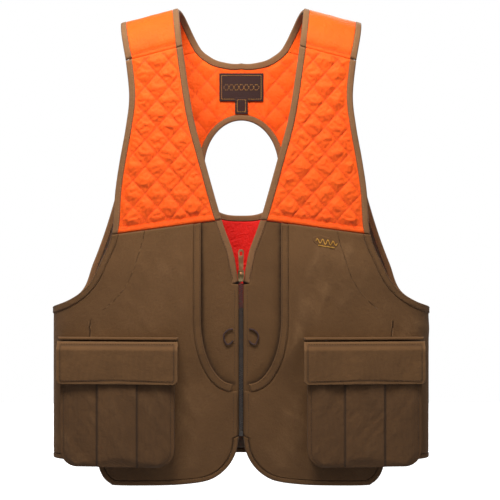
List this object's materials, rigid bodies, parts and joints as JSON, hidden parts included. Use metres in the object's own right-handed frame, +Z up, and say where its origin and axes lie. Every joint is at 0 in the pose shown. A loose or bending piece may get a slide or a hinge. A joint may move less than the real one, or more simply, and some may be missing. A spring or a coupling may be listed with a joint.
{
  "type": "hunting vest",
  "caption": "Sleeveless field vest: quilted orange shoulders over a brown canvas body with a front zip, flapped bellows pockets, curved side-entry mouths and a rear game bag.",
  "frame": {"origin": "middle of the top of the back neckline, where a peg or hanger loop holds the vest", "axes": "+Z up the wearer's back, +Y backwards from the wearer, +X to the wearer's left"},
  "size_m": [0.576, 0.1758, 0.7248],
  "materials": {
    "quilted_orange": "quilted blaze orange poplin",
    "orange_lining": "thin orange lining",
    "brown_canvas": "matte cotton canvas",
    "binding_tape": "woven edge binding",
    "dark_tape": "dark woven tape",
    "cord": "dark braided cord",
    "label_cloth": "dark woven label",
    "gold_thread": "gold embroidery thread",
    "zip_plastic": "moulded dark plastic",
    "antique_brass": "antique brass"
  },
  "bodies": {
    "back": {"back_yoke": "quilted_orange", "back_panel": "orange_lining", "game_bag": "brown_canvas", "game_bag_binding": "binding_tape", "back_hem": "brown_canvas", "neck_binding": "binding_tape", "vent_binding": "binding_tape", "neck_label": "label_cloth", "right_shoulder_saddle": "quilted_orange", "left_shoulder_saddle": "quilted_orange", "right_back_arm_binding": "binding_tape", "left_back_arm_binding": "binding_tape"},
    "right_front": {"right_front_yoke": "quilted_orange", "right_yoke_neck_binding": "binding_tape", "right_yoke_arm_binding": "binding_tape", "right_front_base": "brown_canvas", "right_front_outer": "brown_canvas", "right_front_neck_binding": "binding_tape", "right_front_arm_binding": "binding_tape", "right_mouth_facing": "brown_canvas", "right_arm_facing": "brown_canvas", "right_front_hem": "brown_canvas", "right_pocket_gusset": "brown_canvas", "right_flap_welt": "brown_canvas", "right_zip_teeth": "zip_plastic", "right_zip_tape": "dark_tape", "zip_retainer_box": "zip_plastic"},
    "left_front": {"left_front_yoke": "quilted_orange", "left_yoke_neck_binding": "binding_tape", "left_yoke_arm_binding": "binding_tape", "left_front_base": "brown_canvas", "left_front_outer": "brown_canvas", "left_front_neck_binding": "binding_tape", "left_front_arm_binding": "binding_tape", "left_mouth_facing": "brown_canvas", "left_arm_facing": "brown_canvas", "left_front_hem": "brown_canvas", "left_pocket_gusset": "brown_canvas", "left_flap_welt": "brown_canvas", "left_zip_teeth": "zip_plastic", "left_zip_tape": "dark_tape", "zip_insertion_pin": "zip_plastic", "chest_emblem": "gold_thread"},
    "right_pocket": {"right_pocket_front": "brown_canvas", "right_pocket_loop_tape": "dark_tape"},
    "left_pocket": {"left_pocket_front": "brown_canvas", "left_pocket_loop_tape": "dark_tape"},
    "right_flap": {"right_pocket_flap": "brown_canvas", "right_flap_hook_tape": "dark_tape"},
    "left_flap": {"left_pocket_flap": "brown_canvas", "left_flap_hook_tape": "dark_tape"},
    "slider": {"zip_slider": "antique_brass"},
    "pull": {"zip_pull_tab": "antique_brass"},
    "right_loop": {"right_cord_loop": "cord"},
    "left_loop": {"left_cord_loop": "cord"},
    "size_tab": {"size_tab": "label_cloth"}
  },
  "joints": [
    {"name": "right_front_open", "type": "hinge", "parent": "back", "child": "right_front", "pos_m": [-0.292, -0.062, -0.386], "axis": [-0.2318, 0, -0.9728], "range_deg": [0, 55], "deforming": ["right_front_yoke", "right_yoke_neck_binding", "right_yoke_arm_binding"]},
    {"name": "left_front_open", "type": "hinge", "parent": "back", "child": "left_front", "pos_m": [0.292, -0.062, -0.386], "axis": [-0.2318, 0, 0.9728], "range_deg": [0, 55], "deforming": ["left_front_yoke", "left_yoke_neck_binding", "left_yoke_arm_binding"]},
    {"name": "right_flap_lift", "type": "hinge", "parent": "right_front", "child": "right_flap", "pos_m": [-0.185, -0.13421, -0.43], "axis": [-0.9933, 0.1155, 0], "range_deg": [0, 105]},
    {"name": "left_flap_lift", "type": "hinge", "parent": "left_front", "child": "left_flap", "pos_m": [0.185, -0.13421, -0.43], "axis": [-0.9933, -0.1155, 0], "range_deg": [0, 105]},
    {"name": "right_pocket_press", "type": "slide", "parent": "right_front", "child": "right_pocket", "axis": [0.1155, 0.9933, 0], "range_m": [0, 0.012], "deforming": ["right_pocket_gusset"]},
    {"name": "left_pocket_press", "type": "slide", "parent": "left_front", "child": "left_pocket", "axis": [-0.1155, 0.9933, 0], "range_m": [0, 0.012], "deforming": ["left_pocket_gusset"]},
    {"name": "zip_slide", "type": "slide", "parent": "right_front", "child": "slider", "axis": [0, 0.03, -0.9996], "range_m": [0, 0.22]},
    {"name": "zip_pull_swing", "type": "hinge", "parent": "slider", "child": "pull", "pos_m": [0, -0.1266, -0.32822], "axis": [1, 0, 0], "range_deg": [0, 165]},
    {"name": "right_loop_swing", "type": "hinge", "parent": "right_front", "child": "right_loop", "pos_m": [-0.012, -0.12053, -0.4205], "axis": [0, -0.03, 0.9996], "range_deg": [0, 90]},
    {"name": "left_loop_swing", "type": "hinge", "parent": "left_front", "child": "left_loop", "pos_m": [0.012, -0.12053, -0.4205], "axis": [0, 0.03, -0.9996], "range_deg": [0, 90]},
    {"name": "size_tab_flip", "type": "hinge", "parent": "back", "child": "size_tab", "pos_m": [0, -0.004, -0.054], "axis": [-1, 0, 0], "range_deg": [0, 150]}
  ]
}
